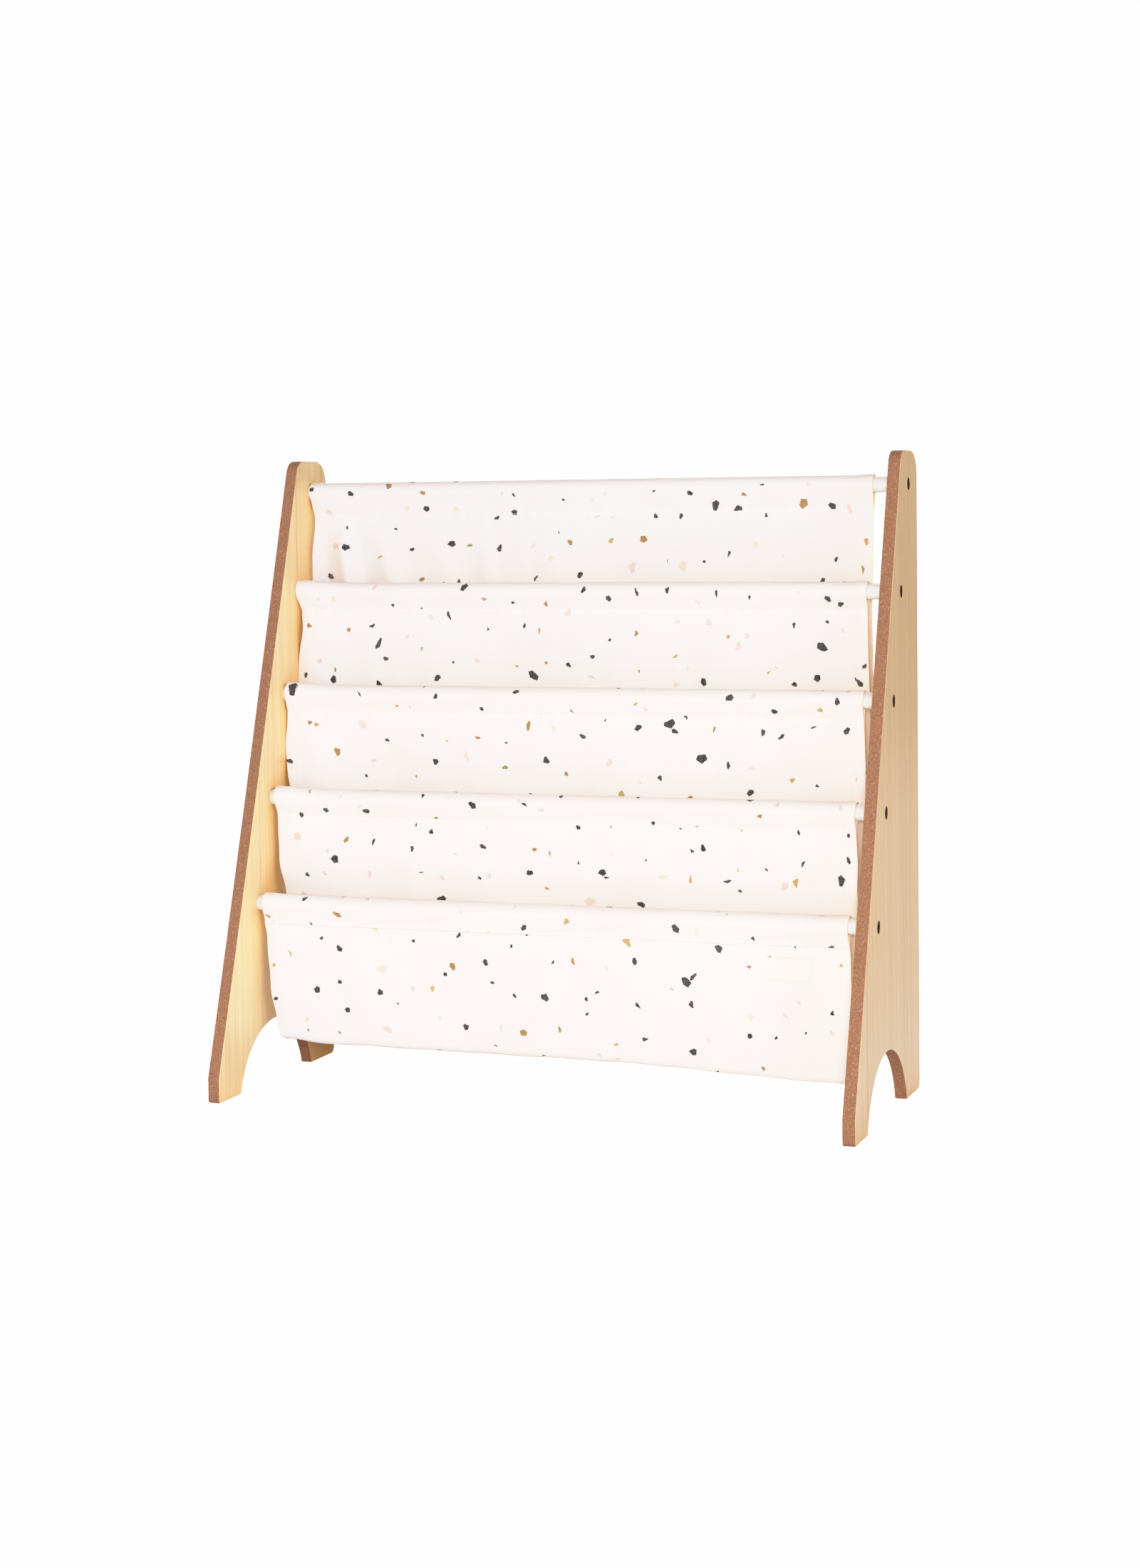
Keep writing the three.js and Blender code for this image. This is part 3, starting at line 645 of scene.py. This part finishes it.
# Where the visible edges of each row lie: millimetres below the rod's middle, and along X
LEFT_EDGES = (
    ((-9, -299.3), (8, -299.3), (17, -299.0), (26, -297.0), (46, -297.6), (64, -298.2), (95, -298.2)),
    ((-9, -301.2), (6, -301.0), (15, -299.1), (25, -296.7), (39, -296.7), (50, -298.1),
     (60, -299.8), (72, -301.0), (95, -301.2)),
    ((-9, -298.8), (10, -299.2), (30, -300.0), (44, -301.0), (58, -301.2), (65, -300.5),
     (76, -298.7), (95, -295.6)),
    ((-9, -296.8), (22, -296.1), (58, -296.4), (68, -294.6), (82, -291.8), (95, -289.3)),
    ((-9, -295.4), (8, -295.6), (18, -296.6), (42, -294.9), (66, -293.0), (94, -290.1),
     (113, -287.0), (126, -282.8), (134, -279.0)),
)
RIGHT_EDGES = (
    ((-9, 281.0), (27, 280.0), (95, 279.3)),
    ((-9, 282.4), (8, 281.4), (47, 281.8), (95, 283.0)),
    ((-9, 286.4), (8, 285.2), (24, 285.2), (57, 286.3), (95, 286.8)),
    ((-9, 286.4), (8, 284.9), (16, 284.6), (46, 287.0), (95, 287.4)),
    ((-9, 287.2), (8, 285.9), (30, 286.9), (134, 287.2)),
)
EDGE_SOFTNESS = 5 * MM

# How far each sleeve's left end stands up, and where in their turn the folds under it start
END_LIFTS = (0.3 * MM, 2.6 * MM, 1.8 * MM, 1.6 * MM, 0.5 * MM)
FOLD_STARTS = (0.1, 0.45, 0.8, 0.2, 0.6)

rods = []
for number in range(1, ROD_COUNT + 1):
    rod_low, rod_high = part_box(f"rod_{number}")
    rods.append(((rod_low.y + rod_high.y) / 2, (rod_low.z + rod_high.z) / 2))


def seam_drop(rod):
    return TOP_SEAM_DROP if rod == 0 else SEAM_DROP


def smooth(share):
    share = np.clip(share, 0.0, 1.0)
    return share * share * (3 - 2 * share)


def lerp(low, high, share):
    return low + (high - low) * share


class Ripples:
    """A fixed set of soft waves, mostly upright, for creases and puckers."""

    def __init__(self, seed, count, shortest, longest, lean):
        picks = np.random.default_rng(seed)
        self.turns = 2 * math.pi / picks.uniform(shortest, longest, count)
        self.leans = picks.normal(0.0, lean, count)
        self.starts = picks.uniform(0, 2 * math.pi, count)

    def at(self, x, drop):
        total = 0.0
        for turn, lean, start in zip(self.turns, self.leans, self.starts):
            total = total + np.sin(turn * (x * math.cos(lean) + drop * math.sin(lean)) + start)
        return total / math.sqrt(len(self.turns))


creases = [Ripples(SEED + rod, 6, 26 * MM, 95 * MM, 0.35) for rod in range(ROD_COUNT)]
patches = [Ripples(SEED + 20 + rod, 4, 110 * MM, 260 * MM, 1.2) for rod in range(ROD_COUNT)]
puckers = [Ripples(SEED + 40 + rod, 7, 6 * MM, 17 * MM, 0.15) for rod in range(ROD_COUNT)]
curls = [Ripples(SEED + 60 + rod, 3, 45 * MM, 120 * MM, 1.57) for rod in range(ROD_COUNT)]


def fold_at(seam, share, drop):
    """How far the hanging cloth stands out of its own plane. Both layers under one seam share
    it. The top row is gathered at its left."""
    x = share * CLOTH_WIDTH
    turn = 2 * math.pi
    start = turn * FOLD_STARTS[seam]
    lean = 0.5 * drop / CLOTH_WIDTH
    broad = np.sin(turn * (1.6 * share + lean) + start)
    narrow = np.sin(turn * (3.7 * share - 2 * lean) + 2 * start)
    wave = turn * GATHER_COUNT * (share - 0.4 * lean) + 1.4 * np.sin(turn * (2.3 * share + lean))
    gathers = (np.sin(wave) + 0.25 * np.sin(2 * wave + 0.6)) * (
        0.75 + 0.35 * np.sin(turn * 3.1 * share + 0.4))
    gathered = smooth(1 - share / GATHERED_SHARE) if seam == 0 else 0.0 * share
    plain = FOLD_DEPTH * lerp(narrow, broad, 0.6)
    grown = smooth(drop / (2 * SEAM_DROP))
    patch = smooth(0.5 + 0.5 * patches[seam].at(x, drop))
    crease = CREASE_DEPTH * creases[seam].at(x, drop) * lerp(0.35, 1.0, patch)
    return grown * (lerp(plain, GATHER_DEPTH * gathers, gathered) + crease)


def pucker_at(seam, share, distance):
    """Small ripples that the stitching draws in, close to a seam."""
    near = np.exp(-np.abs(distance) / PUCKER_REACH)
    return PUCKER_DEPTH * near * puckers[seam].at(share * CLOTH_WIDTH, 0.0)


def sleeve_section(rod):
    """Points from the foot of the sleeve behind the rod, over it, to the foot in front."""
    y, z = rods[rod]
    radius = ROD_RADIUS + SLEEVE_PLAY + CLOTH_THICK / 2
    close = seam_drop(rod) - SEAM_BAND
    span = math.hypot(SEAM_OFFSET, close)
    leave = math.atan2(-close, SEAM_OFFSET) + math.acos(radius / span)
    angles = np.linspace(leave, math.pi - leave, ROD_STEPS)
    arc = np.array([(y + radius * math.cos(a), z + radius * math.sin(a)) for a in angles])
    back_foot, front_foot = np.array(((y + SEAM_OFFSET, z - close), (y - SEAM_OFFSET, z - close)))
    steps = np.linspace(0, 1, 8)[:, None]
    rise, fall = lerp(back_foot, arc[0], steps[:-1]), lerp(arc[-1], front_foot, steps[1:])
    return np.concatenate([rise, arc, fall])


def sleeve_rows(rod, share):
    """The sleeve and the flat band under it, with the stitching's groove."""
    y, z = rods[rod]
    foot, close = z - seam_drop(rod), z - seam_drop(rod) + SEAM_BAND
    back_z = np.linspace(foot - SEAM_GAP, close, BAND_STEPS + 1)[:-1]
    front_z = np.linspace(close, foot - SEAM_GAP, BAND_STEPS + 1)[1:]
    section = np.concatenate([
        np.stack([np.full(BAND_STEPS, y + SEAM_OFFSET), back_z], 1),
        sleeve_section(rod),
        np.stack([np.full(BAND_STEPS, y - SEAM_OFFSET), front_z], 1),
    ])
    count = len(section)
    ys = np.repeat(section[:, :1], share.size, 1)
    zs = np.repeat(section[:, 1:], share.size, 1)
    side = np.where(np.arange(count) < count / 2, 1.0, -1.0)[:, None]
    away = np.abs(zs - (foot + SEAM_BAND / 2))
    ys = ys - side * GROOVE_DEPTH * np.exp(-((away / GROOVE_WIDTH) ** 2))
    low = smooth((z - 2 * MM - zs) / (12 * MM))
    slack = CREASE_DEPTH * creases[rod].at(share * CLOTH_WIDTH, 0.35 * (z - zs)) * low
    fade = smooth(away / (6 * MM))
    ys = ys + pucker_at(rod, share, away) * low + side * slack * fade * 0.8
    from_left = share * CLOTH_WIDTH
    lift = END_LIFTS[rod] * np.exp(-((from_left / (34 * MM)) ** 2)) + 0.5 * MM * np.exp(
        -(((1 - share) * CLOTH_WIDTH / (14 * MM)) ** 2))
    zs = zs + lift * smooth((zs - z + 8 * MM) / (14 * MM))
    return ys, zs, np.zeros((count, 1))


def pocket_sizes(pocket, share):
    """Where a pocket's two legs start, and its turn's front, radius and top, with its sag."""
    back, front = rods[pocket], rods[pocket + 1]
    back_top = back[1] - seam_drop(pocket) - SEAM_GAP
    front_top = front[1] - seam_drop(pocket + 1) - SEAM_GAP
    back_y = back[0] - LEG_OFFSET - HANG_CLEAR
    front_y = front[0] + LEG_OFFSET + HANG_CLEAR
    radius = (back_y - front_y) / 2
    lowest = front[1] - (rods[-1][1] - POCKET_FLOOR) + CLOTH_THICK / 2
    sag = RIGHT_SAG * smooth((share - 0.55) / 0.45)
    lift = 1.0 * MM * (1 - smooth(share / 0.6)) + LEFT_LIFT * (1 - smooth(share / 0.07))
    sway = 0.25 * MM * curls[pocket].at(0.0, share * CLOTH_WIDTH)
    return back_top, front_top, front_y, radius, lowest - sag + lift + sway + radius


def back_leg_rows(pocket, share, down):
    """The back of a pocket, which shows between two rods and folds less towards its turn."""
    back_top, _, _, _, turn_top = pocket_sizes(pocket, share)
    z = lerp(back_top, turn_top, down)
    straight = 1 - smooth((down - FOLDS_END) / (1 - FOLDS_END))
    near_seam = SEAM_OFFSET + (LEG_OFFSET - SEAM_OFFSET) * smooth(down / 0.1)
    y = (rods[pocket][0] - near_seam - HANG_CLEAR * smooth(down / 0.35)
         + fold_at(pocket, share, back_top - z) * straight
         + pucker_at(pocket, share, back_top + SEAM_BAND / 2 - z))
    return y, z, 0.5 * down


def turn_rows(pocket, share, around):
    """The bottom of a pocket, a little squarer than round."""
    _, _, front_y, radius, turn_top = pocket_sizes(pocket, share)
    out, down = np.cos(math.pi * around), np.sin(math.pi * around)
    y = front_y + radius * (1 + np.sign(out) * np.abs(out) ** TURN_SQUARENESS)
    z = turn_top - radius * down ** TURN_SQUARENESS
    return y + 0 * z, z, lerp(0.5, 0.6, around)


def front_leg_rows(pocket, share, up):
    """The front of a pocket, which goes up behind the next row to the seam under its rod."""
    _, front_top, _, _, turn_top = pocket_sizes(pocket, share)
    z = lerp(turn_top, front_top, up)
    near_seam = SEAM_OFFSET + (LEG_OFFSET - SEAM_OFFSET) * smooth((1 - up) / 0.1)
    y = (rods[pocket + 1][0] + near_seam + HANG_CLEAR * smooth((1 - up) / 0.35)
         + fold_at(pocket + 1, share, front_top - z) * smooth(up / 0.35)
         + pucker_at(pocket + 1, share, front_top + SEAM_BAND / 2 - z))
    return y, z, lerp(0.6, 1.0, up)


def edge_at(table, height, rod):
    """Where an edge lies along X at a height, with the corners of its table softened."""
    drops, places = (np.array(column) * MM for column in zip(*table))
    total = 0.0
    for shift in (-1.0, -0.5, 0.0, 0.5, 1.0):
        total = total + np.interp(rods[rod][1] - height + shift * EDGE_SOFTNESS, drops, places)
    return total / 5


def placed(row, share, rows):
    """Gives the cloth its width. Its edges follow their tables where they show, and draw in a
    little deep in the pocket. How far along its way the cloth is runs from 0 at the row's own rod
    to 1 at the next seam."""
    y, z, along = rows
    here, there = row, min(row + 1, ROD_COUNT - 1)
    swap = smooth((along - 0.3) / 0.4)
    edges = []
    for tables, draw_in in ((LEFT_EDGES, LEFT_DRAW_IN), (RIGHT_EDGES, -RIGHT_DRAW_IN)):
        own = edge_at(tables[here], z, here)
        if there == ROD_COUNT - 1:
            later = edge_at(tables[there], z, there)
        else:
            top = rods[there][1] - seam_drop(there)
            deep = smooth((top - z) / (90 * MM))
            later = edge_at(tables[there], top, there) + 0.7 * draw_in * deep
        edges.append(lerp(own, later, swap))
    left, right = edges
    height = z - rods[row][1]
    free = smooth((rods[row][1] - seam_drop(row) - z) / (30 * MM))
    edge = np.exp(-share * CLOTH_WIDTH / EDGE_REACH) + np.exp(
        -(1 - share) * CLOTH_WIDTH / EDGE_REACH)
    curl = EDGE_CURL * edge * free * curls[row].at(0.3, 1.7 * height)
    return np.stack([lerp(left, right, share), y + curl, z], -1)


def face_ways(points):
    """The direction square to the surface at each point of a grid."""
    down = np.gradient(points, axis=0)
    across = np.gradient(points, axis=1)
    ways = np.cross(across, down)
    return ways / np.linalg.norm(ways, axis=-1, keepdims=True)


def row_grid(row, share):
    """The middle of the cloth over one row, from the back of its seam to the next seam."""
    parts = [sleeve_rows(row, share)]
    if row < ROD_COUNT - 1:
        down, around, up = (
            np.linspace(0, 1, steps + 1)[1:, None] for steps in (BACK_STEPS, TURN_STEPS, FRONT_STEPS))
        parts += [back_leg_rows(row, share, down), turn_rows(row, share, around),
                  front_leg_rows(row, share, up)]
    return np.concatenate([placed(row, share, part) for part in parts])


def across_shares():
    """Even columns, closer together in the two side hems."""
    hem = np.array([0, 0.5, 2, 4, 6, 8, 9.6, 10.5, 11.2, 11.9, 12.5, 13.2, 14.5]) * MM / CLOTH_WIDTH
    middle = np.linspace(hem[-1], 1 - hem[-1], MIDDLE_STEPS + 1)[1:-1]
    return np.concatenate([hem, middle, 1 - hem[::-1]])


def hem_profile(share):
    """How much the folded hem stands up beside each edge, and its stitching's groove."""
    edge = np.minimum(share, 1 - share) * CLOTH_WIDTH
    rise = HEM_RISE * (1 - smooth((edge - HEM_FALL) / (1.0 * MM)))
    groove = 0.22 * MM * np.exp(-(((edge - HEM_STITCH) / (0.7 * MM)) ** 2))
    return rise - groove


def add_mesh(name, points, faces, flat=None):
    """A smooth mesh, with each point's place on the flat cloth where it is given."""
    mesh = bpy.data.meshes.new(name)
    mesh.from_pydata([tuple(p) for p in points], [], [tuple(f) for f in faces])
    mesh.validate()
    if flat is not None:
        layer = mesh.uv_layers.new(name="flat_cloth")
        loops = np.empty(len(mesh.loops), dtype=np.int32)
        mesh.loops.foreach_get("vertex_index", loops)
        layer.data.foreach_set("uv", np.asarray(flat, dtype=np.float32)[loops].ravel())
    mesh.shade_smooth()
    made = bpy.data.objects.new(name, mesh)
    bpy.context.collection.objects.link(made)
    return made


def add_sheet(name, middle, ways, half, flat):
    """A closed sheet that reaches half its thickness to both faces, with round edges at its
    sides."""
    rows, columns = middle.shape[:2]
    steps = len(ROUND_STEPS)
    sides = []
    for edge, inside in ((0, 1), (-1, -2)):
        outward = middle[:, edge] - middle[:, inside]
        outward /= np.linalg.norm(outward, axis=-1, keepdims=True)
        sides.append([
            middle[:, edge] + outward * half[edge] * math.sqrt(1 - way * way)
            + ways[:, edge] * (half[edge] * way) for way in ROUND_STEPS])
    lefts, rights = sides
    ring = np.concatenate([
        middle + ways * half[None, :, None],
        np.stack(rights, 1),
        (middle - ways * half[None, :, None])[:, ::-1],
        np.stack(lefts[::-1], 1),
    ], 1)
    marks = np.concatenate([
        flat, np.repeat(flat[:, -1:], steps, 1), flat[:, ::-1],
        np.repeat(flat[:, :1], steps, 1)], 1)
    at = np.arange(ring.shape[0] * ring.shape[1]).reshape(rows, -1)
    beside = np.roll(at, -1, 1)
    faces = np.stack([at[:-1], at[1:], beside[1:], beside[:-1]], -1).reshape(-1, 4).tolist()
    for end, turned in ((0, False), (rows - 1, True)):
        loop = at[end].tolist()
        under = loop[columns + steps:2 * columns + steps][::-1]
        caps = [[loop[i], loop[i + 1], under[i + 1], under[i]] for i in range(columns - 1)]
        caps.append(loop[columns - 1:columns + steps + 1])
        caps.append([loop[0], *loop[2 * columns + steps - 1:]])
        faces += [cap[::-1] if turned else cap for cap in caps]
    return add_mesh(name, ring.reshape(-1, 3), faces, marks.reshape(-1, 2))


STITCH_LENGTH = 3.0 * MM
STITCH_GAP = 0.6 * MM
THREAD_RADIUS = 0.24 * MM


def stitch_beads(line, ways, length=STITCH_LENGTH, gap=STITCH_GAP, radius=THREAD_RADIUS):
    """Short raised threads along a line on the cloth, each one diving in at both ends."""
    steps = np.linalg.norm(np.diff(line, axis=0), axis=1)
    run = np.concatenate([[0], np.cumsum(steps)])
    pitch = length + gap
    starts = np.arange(gap, run[-1] - length, pitch)
    # Places along a stitch, and in thread radii how far each stands out and how thick it is
    shares = np.array([0.0, 0.22, 0.5, 0.78, 1.0])
    lifts = np.array([-0.9, 0.25, 0.6, 0.25, -0.9]) * radius
    girths = np.array([0.35, 0.9, 1.0, 0.9, 0.35]) * radius
    sides = 6
    points, faces = [], []
    for start in starts:
        spots = start + shares * length
        middle = np.stack([np.interp(spots, run, line[:, k]) for k in range(3)], 1)
        up = np.stack([np.interp(spots, run, ways[:, k]) for k in range(3)], 1)
        up /= np.linalg.norm(up, axis=1, keepdims=True)
        along = middle[-1] - middle[0]
        along /= np.linalg.norm(along)
        side = np.cross(along, up)
        first = len(points)
        for ring in range(len(shares)):
            centre = middle[ring] + up[ring] * lifts[ring]
            for k in range(sides):
                angle = 2 * math.pi * k / sides
                points.append(centre + girths[ring] * (
                    math.cos(angle) * up[ring] + math.sin(angle) * side[ring]))
        for ring in range(len(shares) - 1):
            for k in range(sides):
                a, b = first + ring * sides + k, first + ring * sides + (k + 1) % sides
                faces.append((a, b, b + sides, a + sides))
        last = first + (len(shares) - 1) * sides
        faces.append(tuple(first + k for k in reversed(range(sides))))
        faces.append(tuple(last + k for k in range(sides)))
    return points, faces


def add_stitches(name, runs, **sizes):
    """One mesh of the stitches along several lines."""
    points, faces = [], []
    for line, ways in runs:
        more_points, more_faces = stitch_beads(line, ways, **sizes)
        first = len(points)
        points += more_points
        faces += [tuple(first + i for i in face) for face in more_faces]
    return add_mesh(name, points, faces)


def add_cloth_row(row, run_before):
    """One row of the cloth with its stitching. Returns both, and how much cloth is used."""
    share = across_shares()
    middle = row_grid(row, share)
    ways = face_ways(middle)
    half = CLOTH_THICK / 2 + hem_profile(share)
    centre = middle[:, len(share) // 2]
    run = np.concatenate([[0], np.cumsum(np.linalg.norm(np.diff(centre, axis=0), axis=1))])
    flat = np.stack(np.broadcast_arrays(
        share[None, :] * CLOTH_WIDTH, -(run_before + run)[:, None]), -1)
    sheet = add_sheet(f"cloth_row_{row + 1}", middle, ways, half, flat)

    last_band_row = len(sleeve_rows(row, share)[0]) - 1
    runs = []
    for line, side in ((GROOVE_ROW, 1), (last_band_row - GROOVE_ROW, -1)):
        lifted = middle[line] + side * ways[line] * half[:, None]
        runs.append((lifted, side * ways[line]))
    for wanted in (HEM_STITCH / CLOTH_WIDTH, 1 - HEM_STITCH / CLOTH_WIDTH):
        column = int(np.argmin(np.abs(share - wanted)))
        for side in (1, -1):
            lifted = middle[:, column] + side * ways[:, column] * half[column]
            runs.append((lifted, side * ways[:, column]))
    thread = add_stitches(f"thread_row_{row + 1}", runs)
    return sheet, thread, run_before + run[-1]


# Label

LABEL_SIDE = 36 * MM
LABEL_WIDTH, LABEL_HEIGHT = 44 * MM, 21 * MM
LABEL_DROP = 11 * MM
LABEL_THICK = 0.35 * MM
LABEL_COLUMNS, LABEL_ROWS = 45, 23
LABEL_INSET = 2


def add_label():
    """A bare woven tab sewn on the front of the lowest pocket, along its own four sides."""
    pocket = ROD_COUNT - 2
    right = 1 - LABEL_SIDE / CLOTH_WIDTH
    share = np.linspace(right - LABEL_WIDTH / CLOTH_WIDTH, right, LABEL_COLUMNS)
    _, front_top, _, _, turn_top = pocket_sizes(pocket, share)
    z_top = front_top - LABEL_DROP
    heights = np.linspace(z_top, z_top - LABEL_HEIGHT, LABEL_ROWS)[:, None]
    up = (heights - turn_top) / (front_top - turn_top)
    middle = placed(pocket, share, front_leg_rows(pocket, share, up))
    ways = -face_ways(middle[::-1])[::-1]
    ways = ways * np.sign(-ways[..., 1:2])
    off = np.minimum(share - share[0], share[-1] - share) * CLOTH_WIDTH
    fall = np.minimum(heights[0] - heights, heights - heights[-1])
    edge = np.minimum(off[None, :], fall)
    loose = 0.25 * MM * np.exp(-((edge / (0.9 * MM)) ** 2))
    dimple = -0.12 * MM * np.exp(-(((edge - 1.6 * MM) / (0.5 * MM)) ** 2))
    picks = Ripples(SEED + 90, 4, 9 * MM, 24 * MM, 0.8)
    soft = 0.08 * MM * picks.at(share[None, :] * CLOTH_WIDTH, heights)
    lift = CLOTH_THICK / 2 + 0.22 * MM + loose + dimple + soft
    middle = middle + ways * (lift + LABEL_THICK / 2)[..., None]
    flat = np.stack(np.broadcast_arrays(share[None, :] * CLOTH_WIDTH, heights), -1)
    half = np.full(share.size, LABEL_THICK / 2)
    tab = add_sheet("label_tab", middle, ways, half, flat)
    last_row, last_column = LABEL_ROWS - 1 - LABEL_INSET, LABEL_COLUMNS - 1 - LABEL_INSET
    rows, columns = slice(LABEL_INSET, last_row + 1), slice(LABEL_INSET, last_column + 1)
    lines = (
        (LABEL_INSET, columns), (last_row, columns), (rows, LABEL_INSET), (rows, last_column))
    runs = [(middle[line] + ways[line] * LABEL_THICK / 2, ways[line]) for line in lines]
    thread = add_stitches(
        "label_thread", runs, length=1.9 * MM, gap=0.4 * MM, radius=0.16 * MM)
    return tab, thread


# Putting it together

add_camera()
add_world()
set_tones()
for softbox in SOFTBOXES:
    add_softbox(*softbox)

marks = handling_group()
weave = weave_group()
board = board_material(wood_group(), fibreboard_group(), marks)
cloth = cloth_material(weave, chip_group(), marks)
thread_finish = thread_material()
paint = rod_material(marks)
bronze = metal_material("dark_bronze", "#1E1006", "#5E3C20", 0.0, 0.6, 260.0, marks)
brass = metal_material("brass", "#B08A45", "#D9B46C", 1.0, 0.28, 180.0, marks)

bpy.ops.mesh.primitive_circle_add(vertices=128, radius=FLOOR_RADIUS, fill_type="NGON")
floor = bpy.context.object
floor.name = "studio_floor"
floor.data.materials.append(floor_material(marks))
bpy.ops.object.select_all(action="DESELECT")

finishes = {"side_panel": board, "rod": paint, "bolt": bronze, "insert": brass}
for name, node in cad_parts.items():
    for start, material in finishes.items():
        if name.startswith(start):
            for slot in node.material_slots:
                slot.material = material

used = 0.0
for row in range(ROD_COUNT):
    sheet, thread, used = add_cloth_row(row, used)
    sheet.data.materials.append(cloth)
    thread.data.materials.append(thread_finish)
    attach(sheet, "root")
    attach(thread, "root")
    replaced = [f"sleeve_{row + 1}"] + ([f"pocket_{row + 1}"] if row < ROD_COUNT - 1 else [])
    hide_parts(*replaced)

tab, tab_thread = add_label()
tab.data.materials.append(label_material(weave))
tab_thread.data.materials.append(thread_finish)
for piece in (tab, tab_thread):
    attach(piece, "root")
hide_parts("label")
